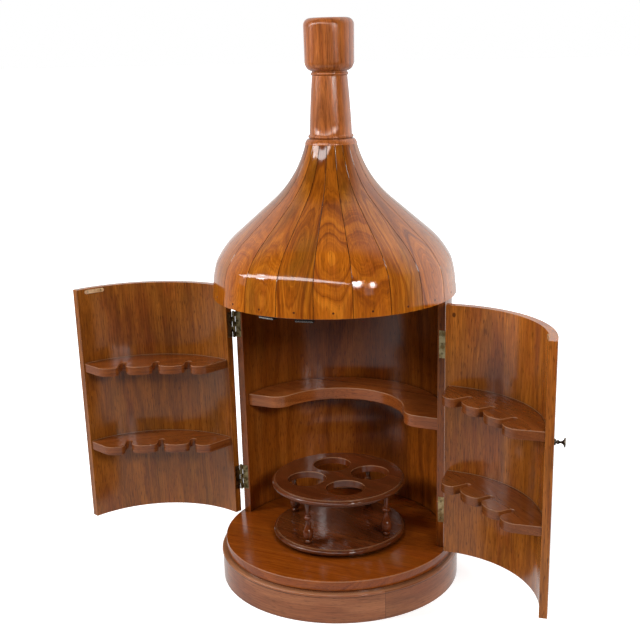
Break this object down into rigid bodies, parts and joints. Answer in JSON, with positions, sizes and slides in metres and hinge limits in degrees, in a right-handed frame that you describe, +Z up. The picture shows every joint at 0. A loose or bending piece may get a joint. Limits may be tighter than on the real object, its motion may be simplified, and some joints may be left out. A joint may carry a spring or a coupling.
{
  "type": "bottle-shaped bar cabinet",
  "caption": "Round wooden bar cabinet shaped like a bottle, with a staved dome and neck, curved doors with stemware racks, a shelf and a turning bottle carousel.",
  "frame": {"origin": "centre of the plinth's underside, on the floor", "axes": "+Z up along the axis of the bottle; -Y towards the front, where the two doors meet; +X towards the hinge of the door with the knob"},
  "size_m": [1.2674, 0.604, 1.35],
  "materials": {
    "dome_wood": "high gloss lacquer over orange-brown rosewood-like staves",
    "turned_wood": "gloss lacquer on turned red-brown wood",
    "plinth_wood": "satin lacquer on tan-brown veneer",
    "floor_wood": "satin lacquer, straight grain",
    "case_wood": "satin lacquer, vertical grain",
    "carousel_wood": "gloss lacquer on dark red-brown turned wood",
    "aged_brass": "aged, slightly dull",
    "bronze": "dark bronze, polished on the edges",
    "washer_plastic": "matte",
    "catch_black": "matte"
  },
  "bodies": {
    "case": {"plinth_ring": "plinth_wood", "plinth_bead": "plinth_wood", "floor_disc": "floor_wood", "back_shell": "case_wood", "top_board": "case_wood", "shelf": "case_wood", "left_hinge_shell_leaves": "aged_brass", "right_hinge_shell_leaves": "aged_brass", "left_hinge_pins": "aged_brass", "right_hinge_pins": "aged_brass", "left_catch": "catch_black", "right_catch": "catch_black", "dome_stave_01": "dome_wood", "dome_stave_02": "dome_wood", "dome_stave_03": "dome_wood", "dome_stave_04": "dome_wood", "dome_stave_05": "dome_wood", "dome_stave_06": "dome_wood", "dome_stave_07": "dome_wood", "dome_stave_08": "dome_wood", "dome_stave_09": "dome_wood", "dome_stave_10": "dome_wood", "dome_stave_11": "dome_wood", "dome_stave_12": "dome_wood", "dome_stave_13": "dome_wood", "dome_stave_14": "dome_wood", "dome_stave_15": "dome_wood", "dome_stave_16": "dome_wood", "dome_stave_17": "dome_wood", "dome_stave_18": "dome_wood", "dome_stave_19": "dome_wood", "dome_stave_20": "dome_wood", "dome_stave_21": "dome_wood", "neck": "turned_wood", "stopper": "turned_wood", "carousel_washer": "washer_plastic", "carousel_pivot": "bronze"},
    "left_door": {"left_door": "case_wood", "left_upper_rack": "case_wood", "left_lower_rack": "case_wood", "left_hinge_door_leaves": "aged_brass", "left_strike": "aged_brass"},
    "right_door": {"right_door": "case_wood", "right_upper_rack": "case_wood", "right_lower_rack": "case_wood", "right_hinge_door_leaves": "aged_brass", "right_strike": "aged_brass", "knob_rose": "bronze", "knob_stem": "bronze", "knob_head": "bronze"},
    "carousel": {"carousel_lower_disc": "carousel_wood", "carousel_upper_disc": "carousel_wood", "carousel_spindle_front": "carousel_wood", "carousel_spindle_right": "carousel_wood", "carousel_spindle_back": "carousel_wood", "carousel_spindle_left": "carousel_wood"}
  },
  "joints": [
    {"name": "left_door_hinge", "type": "hinge", "parent": "case", "child": "left_door", "pos_m": [-0.286, 0, 0.4105], "axis": [0, 0, 1], "range_deg": [-61.5, 108.5]},
    {"name": "right_door_hinge", "type": "hinge", "parent": "case", "child": "right_door", "pos_m": [0.286, 0, 0.4105], "axis": [0, 0, 1], "range_deg": [-98, 72]},
    {"name": "carousel_turn", "type": "hinge", "parent": "case", "child": "carousel", "pos_m": [0.004, -0.008, 0.107], "axis": [0, 0, 1], "continuous": true}
  ]
}
